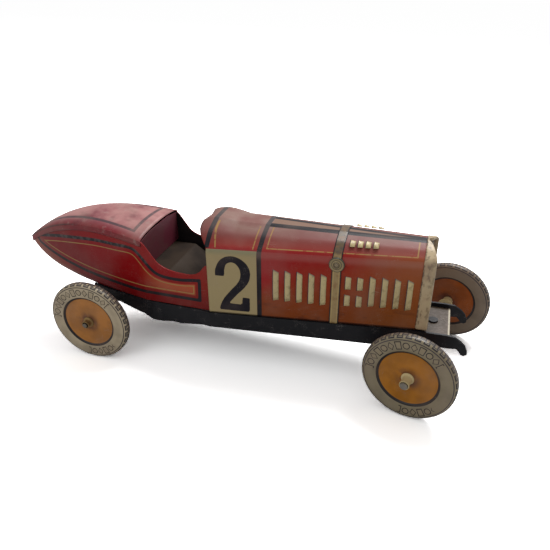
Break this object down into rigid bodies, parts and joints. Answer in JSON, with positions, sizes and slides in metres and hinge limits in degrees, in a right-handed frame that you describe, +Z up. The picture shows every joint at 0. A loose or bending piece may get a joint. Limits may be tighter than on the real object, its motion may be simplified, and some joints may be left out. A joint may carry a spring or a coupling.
{
  "type": "wind-up tin toy racing car",
  "caption": "Tinplate clockwork racing car with a boat tail, open cockpit, louvred bonnet, disc wheels, a steerable front axle and a winding key.",
  "frame": {"origin": "centre of the overall box on the ground plane, with the front axle turned as in the rest pose", "axes": "+X forwards, +Y to the driver's left, +Z up"},
  "size_m": [0.3432, 0.1254, 0.1012],
  "materials": {
    "black_enamel": "semi-gloss enamel, chipped at the edges",
    "red_print": "lithographed lacquer, worn gloss",
    "maroon_print": "lithographed lacquer, dulled",
    "maroon_inner": "lacquer, grimy",
    "tan_print": "lithographed lacquer, worn",
    "cream_print": "lithographed lacquer, worn",
    "strap_print": "lithographed lacquer, worn",
    "bare_tin": "tarnished bare tinplate",
    "dark_mesh": "matt printed mesh",
    "plate_steel": "plain rolled steel, dull",
    "bright_steel": "drawn steel rod",
    "dark_steel": "darkened pressed steel",
    "blued_steel": "blued spring steel",
    "gear_brass": "stamped brass",
    "hub_brass": "worn brass eyelet",
    "hub_cream": "cream lacquered tube",
    "wheel_print": "lithographed lacquer, orange disc and grey tyre",
    "wheel_inner_print": "lithographed lacquer, dulled",
    "key_tin": "tinned steel"
  },
  "bodies": {
    "chassis": {"chassis_tray": "black_enamel", "front_apron": "tan_print", "steering_pin": "bright_steel", "tail_shell": "red_print", "tail_deck": "maroon_print", "cockpit_bulkhead": "maroon_inner", "motor_cover": "bare_tin", "bonnet_shell": "red_print", "bonnet_louvres": "cream_print", "bonnet_strap": "strap_print", "strap_buckles": "strap_print", "radiator_shell": "tan_print", "radiator_core": "dark_mesh", "motor_plate_right": "plate_steel", "motor_plate_left": "plate_steel", "motor_pillars": "bright_steel", "motor_rivets": "bright_steel"},
    "front_axle": {"axle_bracket": "dark_steel", "front_axle_rod": "bright_steel"},
    "front_wheel_right": {"front_wheel_right_outer": "wheel_print", "front_wheel_right_inner": "wheel_inner_print", "front_wheel_right_hub": "hub_cream"},
    "front_wheel_left": {"front_wheel_left_outer": "wheel_print", "front_wheel_left_inner": "wheel_inner_print", "front_wheel_left_hub": "hub_cream"},
    "rear_axle": {"rear_axle_rod": "bright_steel", "rear_wheel_right_outer": "wheel_print", "rear_wheel_right_inner": "wheel_inner_print", "rear_wheel_right_hub": "hub_brass", "rear_wheel_left_outer": "wheel_print", "rear_wheel_left_inner": "wheel_inner_print", "rear_wheel_left_hub": "hub_brass", "axle_pinion": "gear_brass"},
    "second_shaft": {"second_arbor": "bright_steel", "second_wheel": "gear_brass", "second_pinion": "bright_steel"},
    "great_wheel": {"great_wheel": "gear_brass", "click": "dark_steel", "click_rivet": "bright_steel"},
    "winding_shaft": {"winding_arbor": "bright_steel", "ratchet_wheel": "dark_steel", "mainspring": "blued_steel", "winding_key": "key_tin"}
  },
  "joints": [
    {"name": "front_axle_steer", "type": "hinge", "parent": "chassis", "child": "front_axle", "pos_m": [0.13239, 0, 0.029], "axis": [0, 0, 1], "range_deg": [-8, 32]},
    {"name": "front_wheel_right_spin", "type": "hinge", "parent": "front_axle", "child": "front_wheel_right", "pos_m": [0.12187, -0.04949, 0.029], "axis": [0.2079, 0.9781, 0], "continuous": true},
    {"name": "front_wheel_left_spin", "type": "hinge", "parent": "front_axle", "child": "front_wheel_left", "pos_m": [0.14291, 0.04949, 0.029], "axis": [0.2079, 0.9781, 0], "continuous": true},
    {"name": "rear_axle_spin", "type": "hinge", "parent": "chassis", "child": "rear_axle", "pos_m": [-0.09461, 0, 0.029], "axis": [0, 1, 0], "continuous": true},
    {"name": "second_shaft_spin", "type": "hinge", "parent": "chassis", "child": "second_shaft", "pos_m": [-0.08162, 0, 0.0365], "axis": [0, 1, 0], "continuous": true},
    {"name": "great_wheel_spin", "type": "hinge", "parent": "chassis", "child": "great_wheel", "pos_m": [-0.06133, 0, 0.04194], "axis": [0, 1, 0], "continuous": true},
    {"name": "winding_key_turn", "type": "hinge", "parent": "great_wheel", "child": "winding_shaft", "pos_m": [-0.06133, 0, 0.04194], "axis": [0, 1, 0], "continuous": true}
  ],
  "couplings": [
    {"joint": "second_shaft_spin", "follows": "rear_axle_spin", "ratio": -0.38889},
    {"joint": "great_wheel_spin", "follows": "rear_axle_spin", "ratio": 0.097222}
  ]
}
